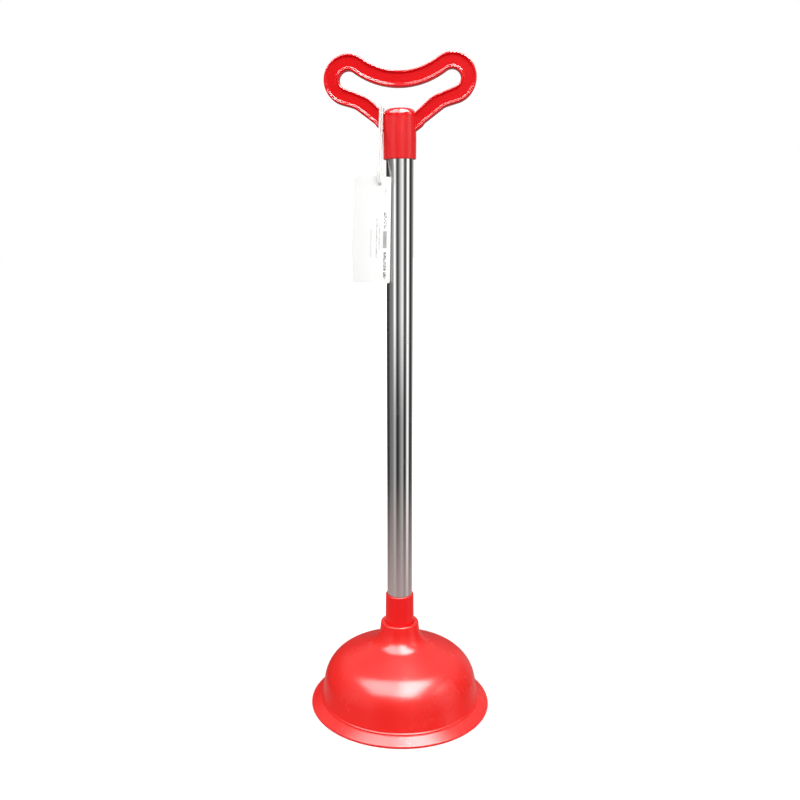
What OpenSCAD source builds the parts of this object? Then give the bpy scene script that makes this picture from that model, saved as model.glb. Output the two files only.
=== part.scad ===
// Toilet plunger: a soft rubber cup on a steel tube with a looped plastic handle.
// The origin is the centre of the rim's seat on the floor, and +Z runs up the tube.
// The handle's loop lies in the XZ plane, and the card hangs on the -Y side.

/* [Cup] */
// Outer diameter of the rim
rim_d = 161.4; // [158:0.2:168]
// Thickness of the rim's outer lip
lip_t = 2; // [1.6:0.1:2.6]
// Diameter of the crease where the wall meets the rim
crease_d = 142.2; // [140:0.2:144]
// Height of that crease above the floor
crease_z = 7.4; // [6.4:0.1:8.4]
// Draft of the side wall from upright, in degrees
wall_draft = 9.4; // [8:0.1:11]
// Slope of the cone-shaped top from level, in degrees
top_slope = 23.6; // [22:0.1:25]
// Height at which that cone would meet the axis
cone_z = 69.4; // [68:0.1:71]
// Radius of the shoulder between wall and top
shoulder_r = 30.7; // [28:0.1:33]
// Thickness of the cup's skin
skin_t = 3.4; // [2.8:0.1:3.8]

/* [Neck] */
// Height of the neck's top edge
neck_z = 78.4; // [77:0.1:80]
// Outer diameter of the neck at its top edge
neck_d = 33.4; // [33:0.1:35]
// How far the neck widens from its top edge to its foot
neck_flare = 2; // [0.5:0.1:5]
// Radius of the fillet at the neck's foot
neck_fillet = 18; // [4:0.5:20]

/* [Connector] */
// Height of the connector's top edge
connector_z = 104.8; // [100:0.1:110]
// Outer diameter at the top edge
connector_d = 24.8; // [24.6:0.1:25.4]
// Outer diameter where it sits in the neck
collar_d = 25.8; // [25.6:0.1:26.2]
// Number of ribs that grip the rubber
rib_count = 4; // [2:1:4]

/* [Tube] */
// Outer diameter of the steel tube
tube_d = 22; // [22:0.1:22.4]
// Wall thickness of the tube
tube_t = 0.5; // [0.4:0.1:0.8]
// Length of the tube
tube_len = 440; // [300:1:600]

/* [Handle] */
// Outer diameter of the handle's socket
socket_d = 26.6; // [26.2:0.1:27.6]
// Depth to which the tube goes into the socket
socket_depth = 32.7; // [28:0.1:40]
// Height of the grip bar's centre above the end of the tube
bar_rise = 28.5; // [28:0.1:32]
// Width of the loop's section
loop_w = 12.2; // [11.6:0.1:12.6]
// Thickness of the loop, front to back
loop_t = 9.4; // [8.6:0.1:9.6]
// Width of the raised bead along each edge of the loop
bead_w = 1.8; // [1.4:0.1:2.2]
// Angle by which the arms narrow towards their roots
arm_taper = 5; // [0:0.5:6]
// Depth of the flat between the beads below their tops
web_drop = 1.6; // [1:0.1:2.4]
// Half of the distance between the centres of the end lobes
lobe_x = 41.1; // [40:0.1:42.5]
// Radius of the lobes, at the middle of the section
lobe_r = 13.2; // [12.6:0.1:14]

/* [Card] */
// Width of the hanging card
card_w = 31; // [26:0.1:32]
// Height of the card
card_h = 84; // [60:0.5:90]
// Thickness of the card
card_t = 0.4; // [0.3:0.1:0.6]
// Turn of the card's bottom edge away from the tube, in degrees
card_turn_low = 5; // [0:1:10]
// Turn of the card's top edge
card_turn_top = 31; // [20:1:32]
// Diameter of the punched hole
hole_d = 5.2; // [5:0.1:5.6]

/* [String] */
// Diameter of the cotton string
string_d = 1.5; // [1.2:0.1:1.5]
// Diameter of its knot
knot_d = 4.4; // [3.8:0.1:4.4]

/* [Hidden] */

$fn = 96;
fit = 0.05;          // radial clearance of a snug fit
arc_steps = 12;      // straight steps in a profile's arc

// Cup, derived
rim_r = rim_d / 2;
crease_r = crease_d / 2;
seat_in_r = rim_r - 6.5;             // inner edge of the flat seat
neck_r = neck_d / 2;
neck_foot_r = neck_r + neck_flare;
boss_r = 15;                          // closed boss inside the cup
boss_z = 46.4;
pocket_z = 50.9;                      // floor of the neck's pocket
ledge_z = 65.9;                       // ledge that the connector stands on
rib_r = 10;

// Tube and connector, derived
tube_r = tube_d / 2;
tube_z = 71.5;                        // lower end of the tube
tube_top = tube_z + tube_len;
spigot_r = tube_r - tube_t - fit;
core_r = 7.5;                         // hollow inside each spigot
shank_z = 51;
rib_pitch = 3.6;

// Handle, derived
socket_r = socket_d / 2;
socket_z = tube_top - socket_depth;
roof_z = tube_top + 0.5;
crown_z = tube_top + 6.2;
bar_z = tube_top + bar_rise;
half_w = loop_w / 2;
arm_fall = 20.9;                      // slope of the arm beside the lobe
root_fall = 41.5;                     // slope of the arm at its root
arm_bend_r = 19.5;                    // radius between those two slopes
root_x = 9;                           // the arms end inside the socket's wall
root_line_x = 25;                     // a point on the root's centre line
root_line_z = tube_top + 6.4;
bar_r = lobe_x * lobe_x / (2 * lobe_r) - lobe_r / 2;    // tangent to both lobes
bar_turn = asin(lobe_x / (bar_r + lobe_r));

// Card, derived: it hangs from its hole, twisted, and leans a little to the left
hole_x = -15.05;
hole_z = tube_top - 53.2;
hole_in = 10;                         // from the right edge to the hole
hole_down = 6.6;                      // from the top edge to the hole
card_y = -12;                         // front face of the right edge
card_lean = 0.9;
card_twist = card_turn_top - card_turn_low;
hole_turn = card_turn_top - card_twist * hole_down / card_h;
hole_y = card_y - hole_in * sin(hole_turn);

// String: points along its middle, with heights from the tube's upper end. It leaves
// the knot, goes twice out through the hole, up the front, over the arm and down the
// back, and ends in the knot.
knot_at = [-14.0, -9.2, -44.2];
string_route = [
    knot_at,
    [-13.9, -11.6, -46.9],
    [-14.0, -13.1, -49.6],
    [-14.2, -14.1, -51.8],
    [-14.25, -16.3, -52.8],
    [-14.3, -18.8, -52.0],
    [-14.4, -20.3, -49.4],
    [-14.5, -19.0, -38.0],
    [-14.4, -13.4, -23.0],
    [-14.0, -7.6, -9.0],
    [-13.7, -6.2, 1.0],
    [-13.5, -5.5, 5.5],
    [-13.4, -2.8, 6.9],
    [-13.4, 2.8, 6.9],
    [-13.5, 5.5, 5.5],
    [-13.7, 6.2, 1.0],
    [-14.6, 5.8, -11.0],
    [-14.9, 2.0, -23.0],
    [-15.2, -4.2, -34.0],
    [-17.0, -10.4, -43.5],
    [-16.4, -13.1, -49.6],
    [-15.9, -14.2, -51.9],
    [-15.85, -16.5, -52.8],
    [-15.9, -19.2, -52.0],
    [-16.0, -21.0, -49.4],
    [-16.2, -19.8, -38.0],
    [-16.1, -13.8, -23.0],
    [-15.7, -7.6, -8.0],
    [-15.4, -6.2, 2.4],
    [-15.2, -5.5, 7.0],
    [-15.1, -2.8, 8.4],
    [-15.1, 2.8, 8.4],
    [-15.2, 5.5, 7.0],
    [-15.4, 6.2, 2.4],
    [-16.3, 5.8, -10.0],
    [-16.7, 2.4, -22.0],
    [-16.2, -2.6, -33.0],
    [-14.9, -6.6, -40.5],
    knot_at + [0, 0.4, 0.4]
];

// Points of an arc about c, from angle a0 to a1
function arc(c, r, a0, a1) = [
    for (i = [0:arc_steps]) let (a = a0 + (a1 - a0) * i / arc_steps) c + r * [cos(a), sin(a)]
];

function unit(v) = v / norm(v);

// A corner b between a and c, rounded to radius r; r = 0 keeps it sharp
function corner(a, b, c, r) = r == 0 ? [b] :
    let (
        u = unit(a - b),
        w = unit(c - b),
        half = acos(u * w) / 2,
        mid = b + unit(u + w) * r / sin(half),
        p = b + u * r / tan(half) - mid,
        q = b + w * r / tan(half) - mid,
        a0 = atan2(p.y, p.x),
        turn = atan2(p.x * q.y - p.y * q.x, p * q)
    )
    arc(mid, r, a0, a0 + turn);

// A closed outline through corners given as [x, y, rounding radius]
function rounded(c) = [
    for (i = [0:len(c) - 1])
        let (a = c[(i + len(c) - 1) % len(c)], b = c[i], d = c[(i + 1) % len(c)])
            for (p = corner([a.x, a.y], [b.x, b.y], [d.x, d.y], b.z)) p
];

// Where the side wall and the cone meet, when both are moved inwards by t
function shoulder(t) =
    let (
        wr = crease_r + crease_z * tan(wall_draft) - t / cos(wall_draft),
        cz = cone_z - t / cos(top_slope),
        z = (cz - wr * tan(top_slope)) / (1 - tan(wall_draft) * tan(top_slope))
    )
    [wr - z * tan(wall_draft), z];

// Height of the cone at radius r, when it is moved inwards by t
function cone_at(r, t) = cone_z - t / cos(top_slope) - r * tan(top_slope);

function cup_outline() =
    let (out = shoulder(0), in = shoulder(skin_t))
    rounded([
        [seat_in_r, 0, 1.5],
        [rim_r - 0.4, 0, 0],
        [rim_r, 0.8, 0.6],
        [rim_r - 0.2, lip_t, 0.6],
        [crease_r, crease_z, 0],
        [out.x, out.y, shoulder_r],
        [neck_foot_r, cone_at(neck_foot_r, 0), neck_fillet],
        [neck_r, neck_z, 1.2],
        [collar_d / 2 + fit, neck_z, 0.4],
        [collar_d / 2 + fit, ledge_z, 0],
        [rib_r + fit, ledge_z, 0],
        [rib_r + fit, pocket_z, 0],
        [0, pocket_z, 0],
        [0, boss_z, 0],
        [boss_r, boss_z, 2],
        [boss_r + 0.6, cone_at(boss_r + 0.6, skin_t), 3],
        [in.x, in.y, shoulder_r - skin_t],
        [crease_r - skin_t + 0.6, crease_z - 2, 4]
    ]);

module cup() {
    color("red") rotate_extrude() polygon(cup_outline());
}

// Socket for one end of the tube: a ring-shaped slot round a hollow spigot
module tube_slot(z, depth, spigot) {
    difference() {
        translate([0, 0, z]) cylinder(h = depth, r = tube_r + fit);
        translate([0, 0, z]) cylinder(h = spigot, r = spigot_r);
    }
    translate([0, 0, z - 0.01]) cylinder(h = spigot + 0.02, r = core_r);
}

function connector_outline() = concat(
    [
        [0, shank_z],
        [rib_r - 1.6, shank_z]
    ],
    [
        for (i = [0:rib_count - 1], p = [[rib_r - 1.6, 0], [rib_r - 0.2, 1], [rib_r, 1.6], [rib_r - 1.6, 2.4]])
            [p.x, shank_z + 0.4 + i * rib_pitch + p.y]
    ],
    [[rib_r - 1.6, ledge_z + 0.1]],
    rounded([
        [collar_d / 2, ledge_z + 0.1, 0.6],
        [connector_d / 2, connector_z, 0.8],
        [0, connector_z, 0]
    ])
);

module connector() {
    color("red") difference() {
        rotate_extrude() polygon(connector_outline());
        tube_slot(tube_z, connector_z - tube_z + 1, 20);
    }
}

module steel_tube() {
    color("silver") translate([0, 0, tube_z]) difference() {
        cylinder(h = tube_len, r = tube_r);
        translate([0, 0, -1]) cylinder(h = tube_len + 2, r = tube_r - tube_t);
    }
}

// One half of the loop's outline, at distance e outside its middle line. The arms'
// lower edge falls less steeply than their upper edge, so they narrow to their roots.
function half_loop(e) =
    let (
        arm_a = arm_fall - (e > 0 ? arm_taper : 0),
        root_a = root_fall - (e > 0 ? arm_taper : 0),
        bar_c = [0, bar_z + bar_r],
        lobe_c = [-lobe_x, bar_z],
        arm_dir = [cos(arm_a), -sin(arm_a)],
        root_dir = [cos(root_a), -sin(root_a)],
        arm_p = lobe_c - lobe_r * [sin(arm_a), cos(arm_a)],
        root_q = [-root_line_x, root_line_z],
        gap = root_q - arm_p,
        reach = (gap.x * root_dir.y - gap.y * root_dir.x) / (arm_dir.x * root_dir.y - arm_dir.y * root_dir.x),
        bend = arm_p + arm_dir * (reach - arm_bend_r * tan((root_a - arm_a) / 2)),
        bend_c = bend - arm_bend_r * [sin(arm_a), cos(arm_a)],
        root_p = root_q + root_dir * (root_line_x - root_x) / root_dir.x
    )
    concat(
        arc(bar_c, bar_r - e, -90, -90 - bar_turn),
        arc(lobe_c, lobe_r + e, 90 - bar_turn, 270 - arm_a),
        arc(bend_c, arm_bend_r - e, 90 - arm_a, 90 - root_a),
        [root_p - e * [sin(root_a), cos(root_a)]]
    );

// The closed outline at distance e, both halves
function loop_outline(e) =
    let (h = half_loop(e), n = len(h))
    concat(h, [for (i = [n - 1:-1:1]) [-h[i].x, h[i].y]]);

// The band between two distances from the middle line
module loop_band(e0, e1, t) {
    rotate([90, 0, 0]) translate([0, 0, -t / 2]) linear_extrude(height = t) difference() {
        polygon(loop_outline(e1));
        polygon(loop_outline(e0));
    }
}

function socket_outline() = rounded([
    [0, socket_z, 0],
    [socket_r - 0.1, socket_z, 0.8],
    [socket_r, socket_z + 14, 60],
    [socket_r - 0.4, crown_z, 5.4],
    [0, crown_z + 0.3, 0]
]);

module handle() {
    color("red") difference() {
        union() {
            difference() {
                loop_band(-half_w, half_w, loop_t);
                for (side = [-1, 1])
                    translate([0, side * (loop_t - web_drop), 0])
                        loop_band(-half_w + bead_w, half_w - bead_w, loop_t);
            }
            rotate_extrude() polygon(socket_outline());
        }
        translate([0, 0, socket_z - 1]) cylinder(h = roof_z - socket_z + 1 - 18, r = tube_r + fit);
        tube_slot(roof_z - 18, 18, 18.01);
    }
}

module hang_tag() {
    color("white") difference() {
        translate([hole_x, 0, hole_z])
            rotate([0, card_lean, 0])
                translate([hole_in * cos(hole_turn), card_y, hole_down - card_h])
                    rotate([0, 0, card_turn_low])
                        linear_extrude(height = card_h, twist = -card_twist, slices = 16, segments = 24)
                            translate([-card_w, 0])
                                square([card_w, card_t]);
        translate([hole_x, hole_y, hole_z])
            rotate([90, 0, hole_turn])
                cylinder(h = 8, r = hole_d / 2, center = true, $fn = 32);
    }
}

// Middle line of the string, made smooth: n places between one point and the next
function spline(a, b, c, d, t) =
    0.5 * (2 * b + (c - a) * t + (2 * a - 5 * b + 4 * c - d) * t * t + (3 * b - a - 3 * c + d) * t * t * t);

function smooth(p, n) = concat(
    [
        for (i = [0:len(p) - 2], k = [0:n - 1])
            spline(p[max(i - 1, 0)], p[i], p[i + 1], p[min(i + 2, len(p) - 1)], k / n)
    ],
    [p[len(p) - 1]]
);

// A round tube of radius r through points p, as one closed surface
module cord(p, r) {
    sides = 8;
    n = len(p);
    dirs = [for (i = [0:n - 1]) unit(p[min(i + 1, n - 1)] - p[max(i - 1, 0)])];
    rings = [
        for (i = [0:n - 1])
            let (u = unit(cross(dirs[i], [1, 0, 0])), v = cross(dirs[i], u))
                for (k = [0:sides - 1]) p[i] + r * (u * cos(k * 360 / sides) + v * sin(k * 360 / sides))
    ];
    walls = [
        for (i = [0:n - 2], k = [0:sides - 1])
            [i * sides + k, (i + 1) * sides + k, (i + 1) * sides + (k + 1) % sides, i * sides + (k + 1) % sides]
    ];
    caps = [[for (k = [0:sides - 1]) k], [for (k = [sides - 1:-1:0]) (n - 1) * sides + k]];
    polyhedron(rings, concat(walls, caps), convexity = 8);
}

module tag_string() {
    color("ivory") translate([0, 0, tube_top]) cord(smooth(string_route, 2), string_d / 2);
}

module string_knot() {
    color("ivory") translate([0, 0, tube_top]) translate(knot_at) sphere(d = knot_d, $fn = 32);
}

cup();
connector();
steel_tube();
handle();
hang_tag();
tag_string();
string_knot();
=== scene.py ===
"""A toilet plunger: soft cup, push-in connector, steel tube, looped handle, and a card on cotton string.

The classes hold their sizes in millimetres, as a maker's drawing does. Meshes are in metres, in the frame's place:
the origin is the middle of the rim's seat, Z runs up the tube, and the loop of the handle lies in the XZ plane.
"""

import logging
import math
from collections.abc import Callable
from dataclasses import dataclass, field
from enum import Enum

import bpy
import numpy as np
from mathutils import Matrix, Vector


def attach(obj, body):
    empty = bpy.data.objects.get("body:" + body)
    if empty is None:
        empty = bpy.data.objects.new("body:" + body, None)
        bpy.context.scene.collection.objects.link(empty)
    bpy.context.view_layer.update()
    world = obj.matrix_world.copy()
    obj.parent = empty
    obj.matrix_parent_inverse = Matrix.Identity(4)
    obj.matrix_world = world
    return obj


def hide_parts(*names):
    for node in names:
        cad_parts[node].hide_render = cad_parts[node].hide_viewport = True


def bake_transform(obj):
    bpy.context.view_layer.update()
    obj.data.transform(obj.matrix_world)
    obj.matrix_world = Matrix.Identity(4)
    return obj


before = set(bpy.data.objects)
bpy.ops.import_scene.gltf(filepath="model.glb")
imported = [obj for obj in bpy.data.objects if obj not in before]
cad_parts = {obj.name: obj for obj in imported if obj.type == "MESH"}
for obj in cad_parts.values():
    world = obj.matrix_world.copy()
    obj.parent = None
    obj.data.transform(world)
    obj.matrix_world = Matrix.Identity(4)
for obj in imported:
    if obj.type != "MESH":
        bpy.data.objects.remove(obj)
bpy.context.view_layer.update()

MM = 0.001
# A lamp that makes sheen stops showing past this ray depth, so the tube does not mirror it onto the cup.
LAST_SHEEN_DEPTH = 2.5
log = logging.getLogger("plunger")

Socket = bpy.types.NodeSocket
Colour = tuple[float, float, float, float]
Value = Socket | float
Tint = Socket | Colour


class Body(Enum):
    """The moving bodies of the frame."""

    CUP = "cup"
    STICK = "stick"
    TAG = "tag"


class Side(Enum):
    """The face of the card that a point lies on; the value shifts its place on the printing map."""

    FRONT = 0.0
    BACK = 2.0


# ---------------------------------------------------------------- shapes


@dataclass
class Surface:
    """One closed surface: its points, its faces, and a map coordinate for every corner of every face."""

    points: np.ndarray
    faces: list[np.ndarray]
    maps: list[np.ndarray]
    data: dict[str, np.ndarray] = field(default_factory=dict)

    def volume(self) -> float:
        """Volume inside the surface: the sum over triangles of a . (b x c) / 6, negative when it is inside out."""
        total = 0.0
        for block in self.faces:
            corners = self.points[block]
            for k in range(1, block.shape[1] - 1):
                a, b, c = corners[:, 0], corners[:, k], corners[:, k + 1]
                total += float((a * np.cross(b, c)).sum()) / 6
        return total

    def outward(self) -> "Surface":
        """The same surface with its faces turned outwards."""
        if self.volume() < 0:
            self.faces = [block[:, ::-1] for block in self.faces]
            self.maps = [block[:, ::-1] for block in self.maps]
        return self


def grid(points: np.ndarray, wrap_u: bool = False, wrap_v: bool = True, caps: bool = False) -> Surface:
    """A surface over a grid of points, where face (i, j) joins points (i, j), (i+1, j), (i+1, j+1) and (i, j+1).

    Args:
        points: The grid, of shape (rows, columns, 3).
        wrap_u: Whether the last row joins the first one.
        wrap_v: Whether the last column joins the first one.
        caps: Whether the first and last rows are closed by one flat face each.

    Returns:
        The closed surface, with each corner's map coordinate from 0 to 1 along rows and columns.
    """
    n, m = points.shape[:2]
    rows, columns = (n if wrap_u else n - 1), (m if wrap_v else m - 1)
    i, j = np.meshgrid(np.arange(rows), np.arange(columns), indexing="ij")
    steps = ((0, 0), (1, 0), (1, 1), (0, 1))
    index = np.stack([((i + a) % n) * m + (j + b) % m for a, b in steps], -1).reshape(-1, 4)
    place = np.stack([np.stack([(i + a) / rows, (j + b) / columns], -1) for a, b in steps], -2).reshape(-1, 4, 2)
    faces, maps = [index], [place]
    if caps:
        ring = np.arange(m)
        faces += [ring[None, ::-1], (n - 1) * m + ring[None]]
        maps += [np.stack([np.zeros(m), ring[::-1] / m], -1)[None], np.stack([np.ones(m), ring / m], -1)[None]]
    return Surface(points.reshape(-1, 3), faces, maps).outward()


def revolved(profile: np.ndarray, turns: np.ndarray, swell: Callable | None = None) -> Surface:
    """The surface that a profile (r, z) sweeps round Z: (r cos a, r sin a, z) at each angle a.

    Args:
        profile: Points (r, z). A profile whose two ends lie on the axis is closed by poles, any other one is a ring.
        turns: The angles, in radians, over one full turn without its end.
        swell: A function of (angle, r, z) that gives how much to add to r.

    Returns:
        The closed surface. Its map runs along the profile first and round the axis second.
    """
    poles = abs(profile[0, 0]) < 1e-9 and abs(profile[-1, 0]) < 1e-9
    inner = profile[1:-1] if poles else profile
    r, z, a = inner[:, :1], inner[:, 1:], turns[None]
    if swell is not None:
        r = r + swell(a, r, z)
    body = grid(np.stack([r * np.cos(a), r * np.sin(a), z + 0 * a], -1), wrap_u=not poles)
    if not poles:
        return body
    m, count = len(turns), len(body.points)
    ring, after = np.arange(m), (np.arange(m) + 1) % m
    last = count - m
    start = np.stack([np.full(m, count), after, ring], -1)
    end = np.stack([np.full(m, count + 1), last + ring, last + after], -1)
    if not np.array_equal(body.faces[0][0], [0, m, m + 1, 1]):
        start, end = start[:, ::-1], end[:, ::-1]
    tops = np.array([[0, 0, profile[0, 1]], [0, 0, profile[-1, 1]]])
    flat = np.stack([np.zeros((m, 3)), np.stack([ring, ring, ring], -1) / m], -1)
    return Surface(np.vstack([body.points, tops]), body.faces + [start, end], body.maps + [flat, 1 - flat])


def full_turn(count: int) -> np.ndarray:
    """Evenly spaced angles over one turn, in radians."""
    return np.arange(count) * 2 * math.pi / count


def arc(centre: tuple[float, float], radius: float, start: float, end: float, steps: int) -> np.ndarray:
    """Points centre + radius (cos a, sin a), with a from start to end in degrees."""
    a = np.radians(np.linspace(start, end, steps + 1))
    return np.stack([centre[0] + radius * np.cos(a), centre[1] + radius * np.sin(a)], -1)


def rounded(corners: list[tuple[float, float, float]], closed: bool = False, steps: int = 10) -> np.ndarray:
    """A line through corners (x, y, radius), each replaced by an arc that touches both of its sides.

    Args:
        corners: The corners in order; a radius of 0 keeps one sharp.
        closed: Whether the last corner joins the first. The ends of an open line stay where they are.
        steps: Straight steps in each arc.

    Returns:
        The points of the line, of shape (n, 2).
    """
    place = np.array(corners, float)
    before, after = np.roll(place, 1, axis=0), np.roll(place, -1, axis=0)
    out = []
    for k, (x, y, radius) in enumerate(place):
        here = np.array([x, y])
        if radius == 0 or (not closed and k in (0, len(place) - 1)):
            out.append(here[None])
            continue
        u, w = before[k, :2] - here, after[k, :2] - here
        u, w = u / np.linalg.norm(u), w / np.linalg.norm(w)
        half = math.acos(float(np.clip(u @ w, -1, 1))) / 2
        mid = here + (u + w) / np.linalg.norm(u + w) * radius / math.sin(half)
        p, q = here + u * radius / math.tan(half) - mid, here + w * radius / math.tan(half) - mid
        first = math.degrees(math.atan2(p[1], p[0]))
        turn = math.degrees(math.atan2(p[0] * q[1] - p[1] * q[0], float(p @ q)))
        out.append(arc(tuple(mid), radius, first, first + turn, steps))
    return np.vstack(out)


def distances(line: np.ndarray) -> np.ndarray:
    """How far along the line each of its points lies."""
    return np.concatenate([[0], np.cumsum(np.linalg.norm(np.diff(line, axis=0), axis=1))])


def spaced(line: np.ndarray, at: np.ndarray) -> np.ndarray:
    """The places on the line at the given distances along it."""
    along = distances(line)
    return np.stack([np.interp(at, along, line[:, k]) for k in range(line.shape[1])], -1)


def refined(line: np.ndarray, step: float) -> np.ndarray:
    """The line again, with each run longer than step divided into equal parts no longer than it."""
    length = np.linalg.norm(np.diff(line, axis=0), axis=1)
    parts = np.maximum(1, np.ceil(length / step)).astype(int)
    along = distances(line)
    run = np.repeat(np.arange(len(parts)), parts)
    inside = np.arange(parts.sum()) - np.repeat(np.cumsum(parts) - parts, parts)
    at = np.append(along[run] + inside / parts[run] * length[run], along[-1])
    return spaced(line, at)


def build(name: str, surfaces: list[Surface], sharp: float = 40) -> bpy.types.Object:
    """One mesh object at the origin from closed surfaces in millimetres.

    Args:
        name: The piece's name.
        surfaces: The closed surfaces that it is made of.
        sharp: The angle in degrees past which an edge is shaded sharp.

    Returns:
        The object, with the map "UVMap" and every named value of the surfaces as a point attribute.
    """
    points = np.vstack([s.points for s in surfaces]) * MM
    starts = np.cumsum([0] + [len(s.points) for s in surfaces])
    faces = [(f + at).tolist() for s, at in zip(surfaces, starts) for f in s.faces]
    mesh = bpy.data.meshes.new(name)
    mesh.from_pydata(points.tolist(), [], [face for block in faces for face in block])
    corners = np.vstack([m.reshape(-1, 2) for s in surfaces for m in s.maps])
    mesh.uv_layers.new(name="UVMap").data.foreach_set("uv", corners.astype(np.float32).ravel())
    for key in sorted({k for s in surfaces for k in s.data}):
        values = np.concatenate([s.data.get(key, np.zeros(len(s.points))) for s in surfaces])
        mesh.attributes.new(key, "FLOAT", "POINT").data.foreach_set("value", values.astype(np.float32))
    mesh.polygons.foreach_set("use_smooth", np.ones(len(mesh.polygons), bool))
    mesh.set_sharp_from_angle(angle=math.radians(sharp))
    mesh.update()
    obj = bpy.data.objects.new(name, mesh)
    bpy.context.scene.collection.objects.link(obj)
    return obj


# ---------------------------------------------------------------- finishes


class Nodes:
    """A node tree, grown by short calls that each give back a socket."""

    curve = "LINEAR"

    def __init__(self, tree: bpy.types.NodeTree) -> None:
        """Takes the tree that the nodes go into."""
        self.tree = tree

    def put(
        self, kind: str, inputs: dict[str | int, object], out: str | int = 0, **settings: object
    ) -> Socket | None:
        """Adds a node.

        Args:
            kind: Blender's name of the node.
            inputs: A socket or a plain value for each named or numbered input.
            out: The output to give back.
            **settings: Properties of the node.

        Returns:
            The chosen output, or None from a node that has none.
        """
        node = self.tree.nodes.new(kind)
        for key, value in settings.items():
            setattr(node, key, value)
        for key, value in inputs.items():
            if isinstance(value, Socket):
                self.tree.links.new(value, node.inputs[key])
            else:
                node.inputs[key].default_value = value
        return node.outputs[out] if node.outputs else None

    def span(self, value: Value, low: float, high: float, to_low: float = 0, to_high: float = 1) -> Socket:
        """Value carried along the tree's curve from the range low..high to the range to_low..to_high."""
        inputs = {"Value": value, "From Min": low, "From Max": high, "To Min": to_low, "To Max": to_high}
        return self.put("ShaderNodeMapRange", inputs, interpolation_type=self.curve)

    def maths(self, operation: str, a: Value, b: Value = 0.0, c: Value = 0.0) -> Socket:
        """One arithmetic step on plain values."""
        return self.put("ShaderNodeMath", {0: a, 1: b, 2: c}, operation=operation)

    def mixed(self, amount: Value, a: Tint, b: Tint) -> Socket:
        """Colour a turning into colour b as amount goes from 0 to 1."""
        inputs = {"Factor": amount, 6: a, 7: b}
        return self.put("ShaderNodeMix", inputs, 2, data_type="RGBA")


class Recipe(Nodes):
    """A material's node tree round one Principled shader."""

    curve = "SMOOTHSTEP"

    def __init__(self, name: str) -> None:
        """Starts the material."""
        self.material = bpy.data.materials.new(name)
        self.material.use_nodes = True
        super().__init__(self.material.node_tree)
        self.shader = self.tree.nodes["Principled BSDF"]
        self.place = self.put("ShaderNodeTexCoord", {}, "Object")

    def mapped(self, scale: tuple[float, float, float], turn: tuple[float, float, float] = (0, 0, 0)) -> Socket:
        """Object coordinates, turned by degrees and then stretched."""
        turned = self.put("ShaderNodeMapping", {"Vector": self.place, "Rotation": tuple(map(math.radians, turn))})
        return self.put("ShaderNodeMapping", {"Vector": turned, "Scale": scale})

    def noise(self, scale: float, detail: float = 2, rough: float = 0.5, where: Socket | None = None) -> Socket:
        """Cloudy noise from 0 to 1; scale is in cells a metre unless where is already stretched."""
        inputs = {"Vector": where or self.place, "Scale": scale, "Detail": detail, "Roughness": rough}
        return self.put("ShaderNodeTexNoise", inputs, "Fac")

    def bumps(self, height: Value, strength: float, distance: float, below: Socket | None = None) -> Socket:
        """A surface normal raised by height times distance in millimetres."""
        inputs: dict[str | int, object] = {"Height": height, "Strength": strength, "Distance": distance * MM}
        if below is not None:
            inputs["Normal"] = below
        return self.put("ShaderNodeBump", inputs)

    def scratches(self, turn: tuple[float, float, float], across: float, along: float, width: float) -> Socket:
        """Fine hairlines: 1 on the middle level of a noise that is stretched along one direction, 0 off it."""
        streaks = self.noise(1, 1.5, 0.4, self.mapped((across, across, along), turn))
        level = self.maths("ABSOLUTE", self.maths("SUBTRACT", streaks, 0.62))
        return self.span(level, 0, width, 1, 0)

    def finish(self, **inputs: object) -> bpy.types.Material:
        """Sets the shader's sockets by name, with underscores for spaces, and gives back the material."""
        for key, value in inputs.items():
            socket = self.shader.inputs[key.replace("_", " ")]
            if isinstance(value, Socket):
                self.tree.links.new(value, socket)
            else:
                socket.default_value = value
        return self.material


def shaded(colour: Colour, by: float) -> Colour:
    """The colour made lighter or darker by a factor."""
    return (min(1, colour[0] * by), min(1, colour[1] * by), min(1, colour[2] * by), 1)


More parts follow.
